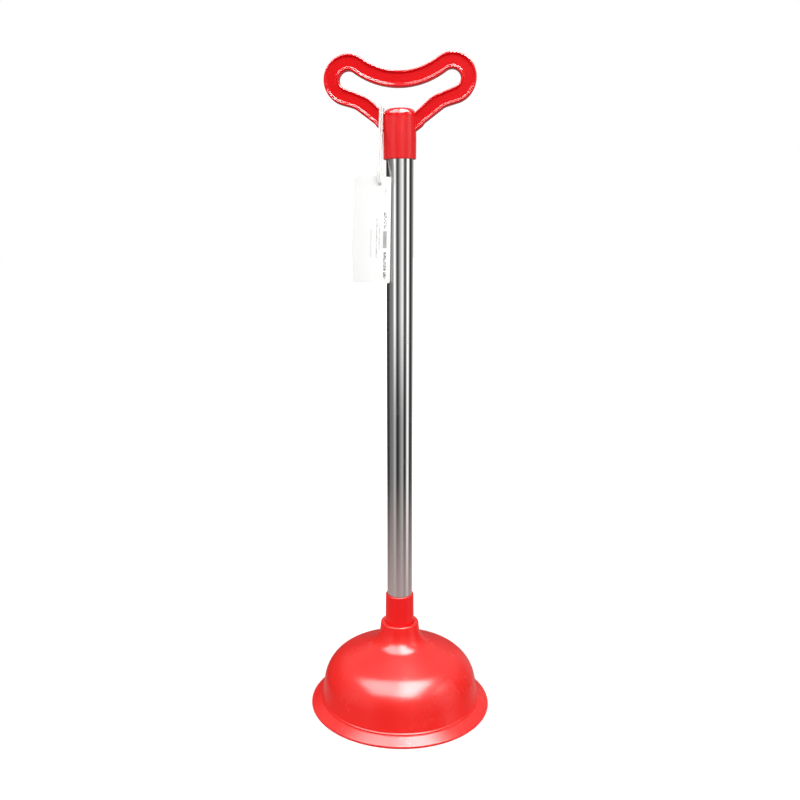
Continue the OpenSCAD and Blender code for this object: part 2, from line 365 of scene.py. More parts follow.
@dataclass(frozen=True)
class MouldedPlastic:
    """Moulded plastic: a faint orange peel, flow clouds, hairline scratches, rubbed crests, a grained grip."""

    name: str
    colour: Colour
    gloss: float = 0.11
    coat: float = 0.12

    def material(self) -> bpy.types.Material:
        """Builds the material. The point attributes "rubbed" and "grained" mark worn crests and fine grain."""
        r = Recipe(self.name)
        clouds = r.noise(45, 4, 0.55)
        peel = r.noise(260, 1, 0.3)
        lines, others = r.scratches((20, 35, 0), 900, 26, 0.012), r.scratches((70, -15, 40), 760, 22, 0.01)
        lines = r.maths("MAXIMUM", lines, others)
        worn = r.maths("MULTIPLY", lines, r.span(r.noise(70, 3), 0.5, 0.68))
        rubbed = r.put("ShaderNodeAttribute", {}, "Fac", attribute_name="rubbed")
        crest = r.maths("MULTIPLY", rubbed, r.span(r.noise(160, 5, 0.6), 0.42, 0.7))
        grained = r.put("ShaderNodeAttribute", {}, "Fac", attribute_name="grained")
        grain = r.maths("MULTIPLY", r.noise(1500, 2, 0.6), grained)
        body = r.mixed(clouds, shaded(self.colour, 0.93), shaded(self.colour, 1.06))
        pale = (self.colour[0] + 0.05, self.colour[1] + 0.05, self.colour[2] + 0.05, 1)
        paler = r.maths("MULTIPLY_ADD", grained, 0.22, r.maths("MULTIPLY", r.maths("ADD", crest, worn), 0.15))
        tint = r.mixed(paler, body, pale)
        uneven = r.span(r.noise(110, 5, 0.6), 0.35, 0.75, self.gloss, self.gloss + 0.04)
        dull = r.maths("MULTIPLY_ADD", grained, 0.1, r.maths("MULTIPLY", r.maths("ADD", crest, worn), 0.04))
        rough = r.maths("ADD", uneven, dull)
        normal = r.bumps(worn, 0.08, -0.006, r.bumps(grain, 0.05, 0.01, r.bumps(peel, 0.03, 0.02)))
        return r.finish(
            Base_Color=tint,
            Roughness=rough,
            Normal=normal,
            Specular_IOR_Level=0.26,
            Coat_Weight=self.coat,
            Coat_Roughness=0.06,
            Subsurface_Weight=0.06,
            Subsurface_Radius=(0.004, 0.0008, 0.0008),
            Subsurface_Scale=1.0,
        )


@dataclass(frozen=True)
class SoftRubber:
    """Soft pressed rubber: satin skin with a fine grain, lathe rings from the mould, pale bloom and small marks."""

    name: str
    colour: Colour
    bloom: Colour

    def material(self) -> bpy.types.Material:
        """Builds the material; the rings run round the Z axis."""
        r = Recipe(self.name)
        x, y = (r.put("ShaderNodeSeparateXYZ", {"Vector": r.place}, axis) for axis in "XY")
        radius = r.maths("SQRT", r.maths("ADD", r.maths("MULTIPLY", x, x), r.maths("MULTIPLY", y, y)))
        drift = r.maths("MULTIPLY", r.noise(30, 2), 0.004)
        rings = r.maths("SINE", r.maths("MULTIPLY", r.maths("ADD", radius, drift), 2 * math.pi / (0.9 * MM)))
        clouds = r.noise(22, 5, 0.6)
        dust = r.maths("MULTIPLY", r.span(r.noise(60, 6, 0.65), 0.5, 0.74), r.span(r.noise(14, 3), 0.42, 0.64))
        grain = r.noise(2300, 3, 0.6)
        dimples = r.noise(260, 2, 0.45)
        marks = r.maths("MULTIPLY", r.scratches((30, 80, 10), 900, 12, 0.008), r.span(r.noise(40, 3), 0.6, 0.75))
        body = r.mixed(clouds, shaded(self.colour, 0.95), shaded(self.colour, 1.05))
        tint = r.mixed(r.maths("MULTIPLY", r.maths("ADD", dust, marks), 0.06), body, self.bloom)
        rough = r.maths("ADD", r.span(clouds, 0.3, 0.7, 0.24, 0.28), r.maths("MULTIPLY", dust, 0.06))
        ringed = r.bumps(rings, 0.03, 0.01, r.bumps(dimples, 0.06, 0.05))
        normal = r.bumps(marks, 0.06, -0.01, r.bumps(grain, 0.12, 0.012, ringed))
        return r.finish(
            Base_Color=tint,
            Roughness=rough,
            Normal=normal,
            Specular_IOR_Level=0.26,
            Coat_Weight=0.06,
            Coat_Roughness=0.24,
            Subsurface_Weight=0.1,
            Subsurface_Radius=(0.006, 0.001, 0.001),
            Subsurface_Scale=1.0,
        )


@dataclass(frozen=True)
class PolishedSteel:
    """Drawn and polished stainless tube: fine lines along it, dull smudges, small specks and light scratches."""

    name: str
    colour: Colour
    mirror: float = 0.055

    def material(self) -> bpy.types.Material:
        """Builds the material; the draw lines run along Z."""
        r = Recipe(self.name)
        lines = r.noise(1, 3, 0.6, r.mapped((1900, 1900, 5)))
        wide = r.noise(1, 2, 0.5, r.mapped((260, 260, 3)))
        smudge = r.maths("MULTIPLY", r.span(r.noise(75, 5, 0.6), 0.52, 0.72), r.span(r.noise(13, 2), 0.4, 0.62))
        cells = r.put("ShaderNodeTexVoronoi", {"Vector": r.place, "Scale": 240}, "Distance")
        specks = r.span(cells, 0.05, 0.12, 1, 0)
        rare = r.maths("MULTIPLY", specks, r.span(r.noise(34, 2), 0.56, 0.64))
        hairs = r.maths("MULTIPLY", r.scratches((0, 8, 0), 800, 9, 0.012), r.span(r.noise(50, 3), 0.46, 0.66))
        dull = r.maths("ADD", r.maths("MULTIPLY", smudge, 0.12), r.maths("MULTIPLY", rare, 0.2))
        rough = r.maths("ADD", r.span(lines, 0.3, 0.8, self.mirror, self.mirror + 0.06), dull)
        dark = r.maths("ADD", r.maths("MULTIPLY", smudge, 0.25), rare)
        tint = r.mixed(dark, self.colour, shaded(self.colour, 0.72))
        shape = r.bumps(wide, 0.1, 0.02, r.bumps(lines, 0.1, 0.004))
        return r.finish(Base_Color=tint, Metallic=1.0, Roughness=rough, Normal=r.bumps(hairs, 0.15, -0.01, shape))


@dataclass(frozen=True)
class PrintedCard:
    """White card: paper fibres, a matt face, and generic grey marks on its front, with no letters in them."""

    name: str
    paper: Colour
    ink: Colour

    def material(self) -> bpy.types.Material:
        """Builds the material. Its map runs 0 to 1 across and up the front; the back lies outside that range."""
        r = Recipe(self.name)
        chart = r.put("ShaderNodeUVMap", {}, uv_map="UVMap")
        across, up = (r.put("ShaderNodeSeparateXYZ", {"Vector": chart}, axis) for axis in "XY")

        def strip(value: Socket, middle: float, half: float) -> Socket:
            """1 within half of the middle, 0 elsewhere."""
            return r.maths("COMPARE", value, middle, half)

        def specks(wide: float, high: float, share: float) -> Socket:
            """1 in a random share of the cells of a grid."""
            cells = r.put("ShaderNodeCombineXYZ", {0: r.maths("FLOOR", r.maths("MULTIPLY", across, wide)),
                                                   1: r.maths("FLOOR", r.maths("MULTIPLY", up, high))})
            chance = r.put("ShaderNodeTexWhiteNoise", {"Vector": cells}, "Value", noise_dimensions="2D")
            return r.maths("LESS_THAN", chance, share)

        def patch(column: tuple[float, float], row: tuple[float, float], fill: Socket, shade: float) -> Socket:
            """Fill times shade inside a box given as (middle, half) across and up."""
            box = r.maths("MULTIPLY", strip(across, *column), strip(up, *row))
            return r.maths("MULTIPLY", r.maths("MULTIPLY", box, fill), shade)

        bars = r.maths("GREATER_THAN", r.maths("FRACT", r.maths("MULTIPLY", across, 46)), 0.4)
        printed = [
            patch((0.85, 0.052), (0.415, 0.08), bars, 1.0),
            patch((0.85, 0.034), (0.17, 0.13), specks(70, 95, 0.6), 0.95),
            patch((0.85, 0.032), (0.58, 0.09), specks(62, 60, 0.36), 0.95),
            patch((0.85, 0.03), (0.86, 0.04), specks(70, 80, 0.35), 0.5),
            patch((0.63, 0.018), (0.42, 0.2), specks(80, 130, 0.45), 0.5),
            patch((0.7, 0.014), (0.44, 0.12), specks(90, 160, 0.5), 0.45),
            patch((0.48, 0.022), (0.38, 0.13), specks(80, 140, 0.45), 0.32),
        ]
        inked = printed[0]
        for part in printed[1:]:
            inked = r.maths("MAXIMUM", inked, part)
        fibres = r.noise(1, 4, 0.7, r.mapped((900, 900, 300), (0, 25, 0)))
        mottle = r.noise(90, 4, 0.6)
        scuff = r.maths("MULTIPLY", r.scratches((0, 60, 0), 380, 14, 0.012), r.span(r.noise(60, 2), 0.5, 0.66))
        sheet = r.mixed(r.maths("MULTIPLY", mottle, 0.5), self.paper, shaded(self.paper, 0.965))
        tint = r.mixed(inked, r.mixed(r.maths("MULTIPLY", scuff, 0.12), sheet, shaded(self.paper, 0.8)), self.ink)
        rough = r.span(fibres, 0.2, 0.8, 0.5, 0.66)
        normal = r.bumps(scuff, 0.15, -0.02, r.bumps(fibres, 0.22, 0.02))
        return r.finish(Base_Color=tint, Roughness=rough, Normal=normal, Specular_IOR_Level=0.3)


@dataclass(frozen=True)
class CottonTwine:
    """Bleached cotton: fine threads that wind with the plies, a soft sheen, and painted shade in the hollows between
    plies.
    """

    name: str
    colour: Colour
    threads: float = 30
    winds: float = 260

    def material(self) -> bpy.types.Material:
        """Builds the material; the map runs along the string first and round it second."""
        r = Recipe(self.name)
        chart = r.put("ShaderNodeUVMap", {}, uv_map="UVMap")
        along, around = (r.put("ShaderNodeSeparateXYZ", {"Vector": chart}, axis) for axis in "XY")
        wander = r.maths("MULTIPLY", r.noise(1500, 3), 3.0)
        phase = r.maths("ADD", r.maths("MULTIPLY", along, self.winds), r.maths("MULTIPLY", around, self.threads))
        wave = r.maths("SINE", r.maths("ADD", r.maths("MULTIPLY", phase, 2 * math.pi), wander))
        fuzz = r.noise(5200, 4, 0.7)
        hollow = r.put("ShaderNodeAttribute", {}, "Fac", attribute_name="hollow")
        # Painted shade: the hollows between plies are darkened in the colour, and the fuzz adds random tone on top.
        shade = r.maths("ADD", r.maths("MULTIPLY", hollow, 0.5), r.maths("MULTIPLY", fuzz, 0.25))
        tint = r.mixed(shade, self.colour, shaded(self.colour, 0.7))
        normal = r.bumps(fuzz, 0.5, 0.05, r.bumps(wave, 0.45, 0.04))
        rough = r.span(fuzz, 0.3, 0.7, 0.78, 0.92)
        return r.finish(Base_Color=tint, Roughness=rough, Normal=normal, Sheen_Weight=0.3, Sheen_Roughness=0.45)


RED_PLASTIC = MouldedPlastic("handle_plastic", (0.78, 0.004, 0.007, 1))
RED_SLEEVE = MouldedPlastic("connector_plastic", (0.84, 0.010, 0.010, 1), gloss=0.2, coat=0.06)
RED_RUBBER = SoftRubber("cup_rubber", (0.84, 0.018, 0.014, 1), (0.86, 0.3, 0.26, 1))
STEEL = PolishedSteel("tube_steel", (0.80, 0.80, 0.79, 1))
CARD = PrintedCard("card_stock", (0.93, 0.93, 0.92, 1), (0.05, 0.05, 0.055, 1))
COTTON = CottonTwine("string_cotton", (0.92, 0.91, 0.88, 1))


# ---------------------------------------------------------------- pieces


@dataclass(frozen=True)
class Tube:
    """The steel tube, which every other piece is placed by."""

    bottom: float = 71.5
    length: float = 440.0
    radius: float = 11.0
    wall: float = 0.5
    fit: float = 0.05
    weld_width: float = 0.35
    weld_depth: float = 0.045

    @property
    def top(self) -> float:
        """Height of the upper end."""
        return self.bottom + self.length

    @property
    def spigot(self) -> float:
        """Radius of a spigot that slides into the tube."""
        return self.radius - self.wall - self.fit

    def weld(self, a: np.ndarray, r: np.ndarray, z: np.ndarray) -> np.ndarray:
        """The dressed weld at the back: a shallow groove, minus depth times exp(-(arc distance / width) squared)."""
        across = (a - math.pi / 2) * self.radius / self.weld_width
        return -self.weld_depth * np.exp(-(across**2)) * (r > self.radius - self.wall / 2) + 0 * z

    def build(self) -> bpy.types.Object:
        """A thin wall with softly rounded ends, revolved with finer steps beside the weld."""
        inner, outer = self.radius - self.wall, self.radius
        edge = 0.18
        low, high = self.bottom, self.top
        corners = [(outer, low, edge), (outer, high, edge), (inner, high, edge), (inner, low, edge)]
        section = rounded(corners, closed=True, steps=5)
        closed = refined(np.vstack([section, section[:1]]), 4.0)[:-1]
        fine = math.pi / 2 + np.linspace(-0.12, 0.12, 25)
        rest = np.linspace(fine[-1], fine[0] + 2 * math.pi, 200)[1:-1]
        piece = build("steel_tube_drawn", [revolved(closed, np.concatenate([fine, rest]), self.weld)], sharp=60)
        piece.data.materials.append(STEEL.material())
        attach(piece, Body.STICK.value)
        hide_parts("steel_tube")
        return piece


@dataclass(frozen=True)
class Cup:
    """The soft cup: thin lip, bead at the crease, leaning wall, cone-shaped top, neck, and a closed boss inside."""

    rim_r: float = 80.7
    lip: float = 2.0
    crease_r: float = 71.1
    crease_z: float = 7.4
    wall_lean: float = 9.4
    top_slope: float = 23.6
    cone_z: float = 69.4
    shoulder: float = 30.7
    skin: float = 3.4
    neck_r: float = 16.7
    neck_z: float = 78.4
    neck_flare: float = 2.0
    neck_fillet: float = 18.0
    collar_r: float = 12.95
    ledge_z: float = 65.9
    rib_r: float = 10.05
    pocket_z: float = 50.9
    boss_r: float = 15.0
    boss_z: float = 46.4
    bead: float = 0.55
    segments: int = 220

    def cone(self, r: float, inward: float = 0) -> float:
        """Height of the cone-shaped top at radius r, moved inwards by a thickness."""
        slope = math.radians(self.top_slope)
        return self.cone_z - inward / math.cos(slope) - r * math.tan(slope)

    def corner(self, inward: float) -> tuple[float, float]:
        """Where the wall meets the cone: r = w - z tan(lean) and z = c - r tan(slope), both moved inwards."""
        lean, slope = math.radians(self.wall_lean), math.radians(self.top_slope)
        w = self.crease_r + self.crease_z * math.tan(lean) - inward / math.cos(lean)
        c = self.cone_z - inward / math.cos(slope)
        z = (c - w * math.tan(slope)) / (1 - math.tan(lean) * math.tan(slope))
        return w - z * math.tan(lean), z

    def profile(self) -> np.ndarray:
        """The outline from the boss's middle, down the inside, round the lip, up the outside and into the pocket."""
        out, inside = self.corner(0), self.corner(self.skin)
        foot = self.neck_r + self.neck_flare
        lean = math.tan(math.radians(self.wall_lean))
        b = self.bead
        corners = [
            (0, self.boss_z, 0),
            (self.boss_r, self.boss_z, 2),
            (self.boss_r + 0.6, self.cone(self.boss_r + 0.6, self.skin), 3),
            (inside[0], inside[1], self.shoulder - self.skin),
            (self.crease_r - self.skin + 0.6, self.crease_z - 2, 4),
            (self.rim_r - 6.5, 0, 1.5),
            (self.rim_r - 0.5, 0, 0.3),
            (self.rim_r, 0.8, 0.5),
            (self.rim_r - 0.2, self.lip, 0.5),
            (self.crease_r + 1.5, self.crease_z - 0.95, 0.5),
            (self.crease_r + 0.75, self.crease_z - 0.75, 0.3),
            (self.crease_r + 0.55, self.crease_z + b, 0.4),
            (self.crease_r - lean * 2 * b, self.crease_z + 2 * b, 0.7),
            (out[0], out[1], self.shoulder),
            (foot, self.cone(foot), self.neck_fillet),
            (self.neck_r, self.neck_z, 1.25),
            (self.collar_r, self.neck_z, 0.4),
            (self.collar_r, self.ledge_z, 0.2),
            (self.rib_r, self.ledge_z, 0.2),
            (self.rib_r, self.pocket_z, 0.3),
            (0, self.pocket_z, 0),
        ]
        return refined(rounded(corners, steps=12), 1.8)

    def build(self) -> bpy.types.Object:
        """The revolved cup."""
        piece = build("cup_soft", [revolved(self.profile(), full_turn(self.segments))], sharp=60)
        piece.data.materials.append(RED_RUBBER.material())
        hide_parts("cup")
        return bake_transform(piece)


@dataclass(frozen=True)
class Connector:
    """The sleeve between tube and cup: it takes the tube round a hollow spigot and grips the rubber with ribs."""

    tube: Tube
    top: float = 104.8
    top_r: float = 12.4
    collar_r: float = 12.9
    ledge_z: float = 66.0
    shank_z: float = 51.0
    rib_r: float = 10.0
    ribs: int = 4
    rib_pitch: float = 3.6
    spigot_height: float = 20.0
    core_r: float = 7.5

    def profile(self) -> np.ndarray:
        """The outline from the shank's foot, up the ribs and collar, over the top and down into the tube's slot."""
        foot = self.rib_r - 1.6
        slot_r, spigot_r, floor = self.tube.radius + self.tube.fit, self.tube.spigot, self.tube.bottom
        rib = ((foot, 0.0, 0.15), (self.rib_r - 0.2, 1.0, 0.15), (self.rib_r, 1.6, 0.15), (foot, 2.4, 0.15))
        corners = [(0, self.shank_z, 0), (foot, self.shank_z, 0.15)]
        corners += [(r, self.shank_z + 0.4 + k * self.rib_pitch + z, q) for k in range(self.ribs) for r, z, q in rib]
        corners += [
            (foot, self.ledge_z, 0.1),
            (self.collar_r, self.ledge_z, 0.4),
            (self.top_r, self.top, 0.75),
            (slot_r, self.top, 0.3),
            (slot_r, floor, 0.05),
            (spigot_r, floor, 0.05),
            (spigot_r, floor + self.spigot_height, 0.3),
            (self.core_r, floor + self.spigot_height, 0.3),
            (self.core_r, floor, 0.1),
            (0, floor, 0),
        ]
        return refined(rounded(corners, steps=8), 1.6)

    def build(self) -> bpy.types.Object:
        """The revolved sleeve."""
        piece = build("connector_sleeve", [revolved(self.profile(), full_turn(160))], sharp=50)
        piece.data.materials.append(RED_SLEEVE.material())
        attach(piece, Body.STICK.value)
        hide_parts("connector")
        return piece


@dataclass(frozen=True)
class Handle:
    """The looped handle: one beaded band bent into a closed loop, whose arms grow out of a socket for the tube."""

    tube: Tube
    half_w: float = 6.1
    half_t: float = 4.7
    bead: float = 1.9
    web_drop: float = 1.6
    flank: float = 0.8
    taper: float = 5.0
    lobe_x: float = 41.1
    lobe_r: float = 13.2
    bar_rise: float = 28.5
    arm_fall: float = 20.9
    root_fall: float = 41.5
    bend_r: float = 19.5
    root_x: float = 9.0
    root_line: tuple[float, float] = (25.0, 6.4)
    socket_r: float = 13.3
    socket_depth: float = 32.7
    crown: float = 6.2
    crown_round: float = 5.4
    roof: float = 0.5
    spigot_height: float = 18.0
    core_r: float = 7.5
    parting: float = 0.1
    flare: float = 0.16
    flare_reach: float = 1.3
    flare_depth: float = 0.6
    bar_rows: int = 80

    def section(self) -> np.ndarray:
        """The band's closed section (e, y): a thin web, a bead on each edge, and a parting line on each side."""
        w, t, d = self.half_w, self.half_t, self.half_t - self.web_drop
        b, p = self.half_w - self.bead, self.parting
        inside, crest = b - self.flank / 2, b + self.flank / 2
        right = [(inside, -d, 1.2), (crest, -t, 0.7), (w, -t, 0.9), (w, -0.3, 0)]
        right += [(w + p, -0.08, 0), (w + p, 0.08, 0), (w, 0.3, 0), (w, t, 0.9), (crest, t, 0.7), (inside, d, 1.2)]
        left = [(-e, -y, q) for e, y, q in right]
        outline = rounded(right + left, closed=True, steps=9)
        return refined(np.vstack([outline, outline[:1]]), 0.9)[:-1]

    def half_band(self, e: np.ndarray) -> np.ndarray:
        """Lines at distances e outside the loop's middle line, from the middle of the bar to the left root.

        Each line is four pieces joined without a corner: an arc of the bar, an arc of the lobe, the straight arm
        with its bend, and the straight root. The outer side falls less steeply, so the arms narrow to their roots.

        Args:
            e: The distances, of shape (m,).

        Returns:
            Points (x, z), of shape (n, m, 2).
        """
        bar_z = self.tube.top + self.bar_rise
        bar_r = self.lobe_x**2 / (2 * self.lobe_r) - self.lobe_r / 2
        turn = math.asin(self.lobe_x / (bar_r + self.lobe_r))
        flat = self.half_w - self.bead
        narrowing = math.radians(self.taper) * np.clip((e + flat) / (2 * flat), 0, 1)
        arm, root = math.radians(self.arm_fall) - narrowing, math.radians(self.root_fall) - narrowing
        quarter = math.pi / 2

        def bow(cx: Value, cz: Value, radius: np.ndarray, a0: Value, a1: Value, steps: int) -> np.ndarray:
            """An arc for every e at once, as centre + radius (cos a, sin a)."""
            s = np.linspace(0, 1, steps + 1)[:, None]
            a = a0 + (a1 - a0) * s
            return np.stack([cx + radius * np.cos(a), cz + radius * np.sin(a)], -1)

        def run(p: np.ndarray, q: np.ndarray, steps: int) -> np.ndarray:
            """A straight run for every e at once, without its ends."""
            s = np.linspace(0, 1, steps + 1)[1:-1, None, None]
            return p + (q - p) * s

        lobe = (-self.lobe_x, bar_z)
        arm_dir = np.stack([np.cos(arm), -np.sin(arm)], -1)
        root_dir = np.stack([np.cos(root), -np.sin(root)], -1)
        arm_p = np.array(lobe) - self.lobe_r * np.stack([np.sin(arm), np.cos(arm)], -1)
        root_q = np.array([-self.root_line[0], self.tube.top + self.root_line[1]])
        gap = root_q - arm_p
        reach = (gap[:, 0] * root_dir[:, 1] - gap[:, 1] * root_dir[:, 0]) / (
            arm_dir[:, 0] * root_dir[:, 1] - arm_dir[:, 1] * root_dir[:, 0]
        )
        bend = arm_p + arm_dir * (reach - self.bend_r * np.tan((root - arm) / 2))[:, None]
        bend_c = bend - self.bend_r * np.stack([np.sin(arm), np.cos(arm)], -1)
        root_p = root_q + root_dir * ((self.root_line[0] - self.root_x) / root_dir[:, 0])[:, None]
        end = root_p - e[:, None] * np.stack([np.sin(root), np.cos(root)], -1)
        bar = bow(0, bar_z + bar_r, bar_r - e, -quarter, -quarter - turn, 56)
        round_lobe = bow(lobe[0], lobe[1], self.lobe_r + e, quarter - turn, 3 * quarter - arm, 84)
        elbow = bow(bend_c[:, 0], bend_c[:, 1], self.bend_r - e, quarter - arm, quarter - root, 16)
        arm_run, root_run = run(round_lobe[-1], elbow[0], 14), run(elbow[-1], end, 22)
        return np.vstack([bar, round_lobe[1:], arm_run, elbow, root_run, end[None]])

    def band(self) -> Surface:
        """The section carried round the loop, at depth y off the line at e, and flared where it meets the socket."""
        e, y = self.section().T
        half = self.half_band(e)
        middle = self.half_band(np.zeros(1))[:, 0]
        out = np.maximum(0, np.abs(middle[:, 0]) - self.socket_r)
        past_bar = np.arange(len(half)) > self.bar_rows
        swell = (self.flare * np.exp(-((out / self.flare_reach) ** 2)) * past_bar)[:, None]
        centre = middle[:, None]
        half = centre + (half - centre) * (1 + swell[..., None])
        depth = y[None] * (1 + self.flare_depth * swell)
        left = np.stack([half[..., 0], depth, half[..., 1]], -1)
        right = left[:0:-1] * np.array([-1, 1, 1])
        surface = grid(np.vstack([right, left]), caps=True)
        crest = np.clip((np.abs(y) - self.half_t + 0.5) / 0.5, 0, 1)
        surface.data["rubbed"] = np.tile(crest, 2 * len(half) - 1)
        return surface

    def socket(self) -> Surface:
        """The socket: a round wall with a domed crown, and inside it the slot for the tube round a hollow spigot."""
        slot_r, spigot_r = self.tube.radius + self.tube.fit, self.tube.spigot
        foot, top = self.tube.top - self.socket_depth, self.tube.top
        corners = [
            (0, top + self.crown + 0.3, 0),
            (self.socket_r - 0.4, top + self.crown, self.crown_round),
            (self.socket_r, foot + 14, 60),
            (self.socket_r - 0.1, foot, 0.8),
            (slot_r, foot, 0.3),
            (slot_r, top + self.roof, 0.1),
            (spigot_r, top + self.roof, 0.1),
            (spigot_r, top + self.roof - self.spigot_height, 0.3),
            (self.core_r, top + self.roof - self.spigot_height, 0.3),
            (self.core_r, top + self.roof, 0.1),
            (0, top + self.roof, 0),
        ]
        surface = revolved(refined(rounded(corners, steps=14), 1.6), full_turn(160))
        r, z = np.hypot(surface.points[:, 0], surface.points[:, 1]), surface.points[:, 2]
        start = top + self.crown - self.crown_round
        surface.data["grained"] = np.clip((start - z) / 1.5, 0, 1) * (r > slot_r + 1)
        return surface

    def build(self) -> bpy.types.Object:
        """The band and the socket as one moulding."""
        piece = build("handle_loop", [self.band(), self.socket()], sharp=50)
        piece.data.materials.append(RED_PLASTIC.material())
        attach(piece, Body.STICK.value)
        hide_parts("handle")
        return piece


@dataclass(frozen=True)
class Twine:
    """Three-ply cotton string: its plies, how fast they turn, and the tube that they make along a line."""

    diameter: float = 1.7
    pitch: float = 5.0
    plies: int = 3
    around: int = 30
    least: float = 0.62
    fray: float = 0.35
    fray_length: float = 0.4

    def tube(self, line: np.ndarray, ends: bool = True) -> Surface:
        """The string along a line: centre + r(a) (cos(a + twist) u + sin(a + twist) v).

        Args:
            line: Points of the middle line, close together, in millimetres.
            ends: Whether the last millimetre at each end narrows like a cut and frayed end.

        Returns:
            The closed surface, with the attribute "hollow" at 1 between two plies, where the cotton's colour paints
            shade.
        """
        along = distances(line)
        ahead = np.gradient(line, axis=0)
        ahead /= np.linalg.norm(ahead, axis=1)[:, None]
        u = np.cross(ahead, [1.0, 0.0, 0.0])
        u /= np.linalg.norm(u, axis=1)[:, None]
        v = np.cross(ahead, u)
        a = full_turn(self.around)
        whole = self.diameter / 2
        ply = whole / (1 + 2 / math.sqrt(3))
        away = whole - ply
        near = (a + math.pi / self.plies) % (2 * math.pi / self.plies) - math.pi / self.plies
        radius = away * np.cos(near) + np.sqrt(np.maximum(ply**2 - (away * np.sin(near)) ** 2, 0))
        radius = np.maximum(radius, self.least * whole)
        fray = 1 - self.fray * np.exp(-np.minimum(along, along[-1] - along) / self.fray_length) * ends
        wobble = 1 + 0.02 * np.sin(along * 2.9) + 0.015 * np.sin(along * 7.3 + 1)
        turn = a[None] + (2 * math.pi * along / self.pitch)[:, None]
        reach = radius[None] * (fray * wobble)[:, None]
        ring = reach[..., None] * (np.cos(turn)[..., None] * u[:, None] + np.sin(turn)[..., None] * v[:, None])
        surface = grid(line[:, None] + ring, caps=True)
        hollow = 1 - (radius - radius.min()) / (radius.max() - radius.min())
        surface.data["hollow"] = np.tile(hollow**2, len(line))
        return surface


def smoothed(route: np.ndarray, parts: int) -> np.ndarray:
    """A Catmull-Rom line through the route.

    Between b and c it is (2b + (c - a) t + (2a - 5b + 4c - d) t squared + (3b - a - 3c + d) t cubed) / 2.

    Args:
        route: The points, of shape (n, 3).
        parts: Steps from each point to the next.

    Returns:
        The points of the smooth line.
    """
    padded = np.vstack([route[:1], route, route[-1:]])
    a, b, c, d = (padded[k : len(padded) - 3 + k, None] for k in range(4))
    t = (np.arange(parts) / parts)[None, :, None]
    line = 0.5 * (2 * b + (c - a) * t + (2 * a - 5 * b + 4 * c - d) * t**2 + (3 * b - a - 3 * c + d) * t**3)
    return np.vstack([line.reshape(-1, 3), route[-1:]])


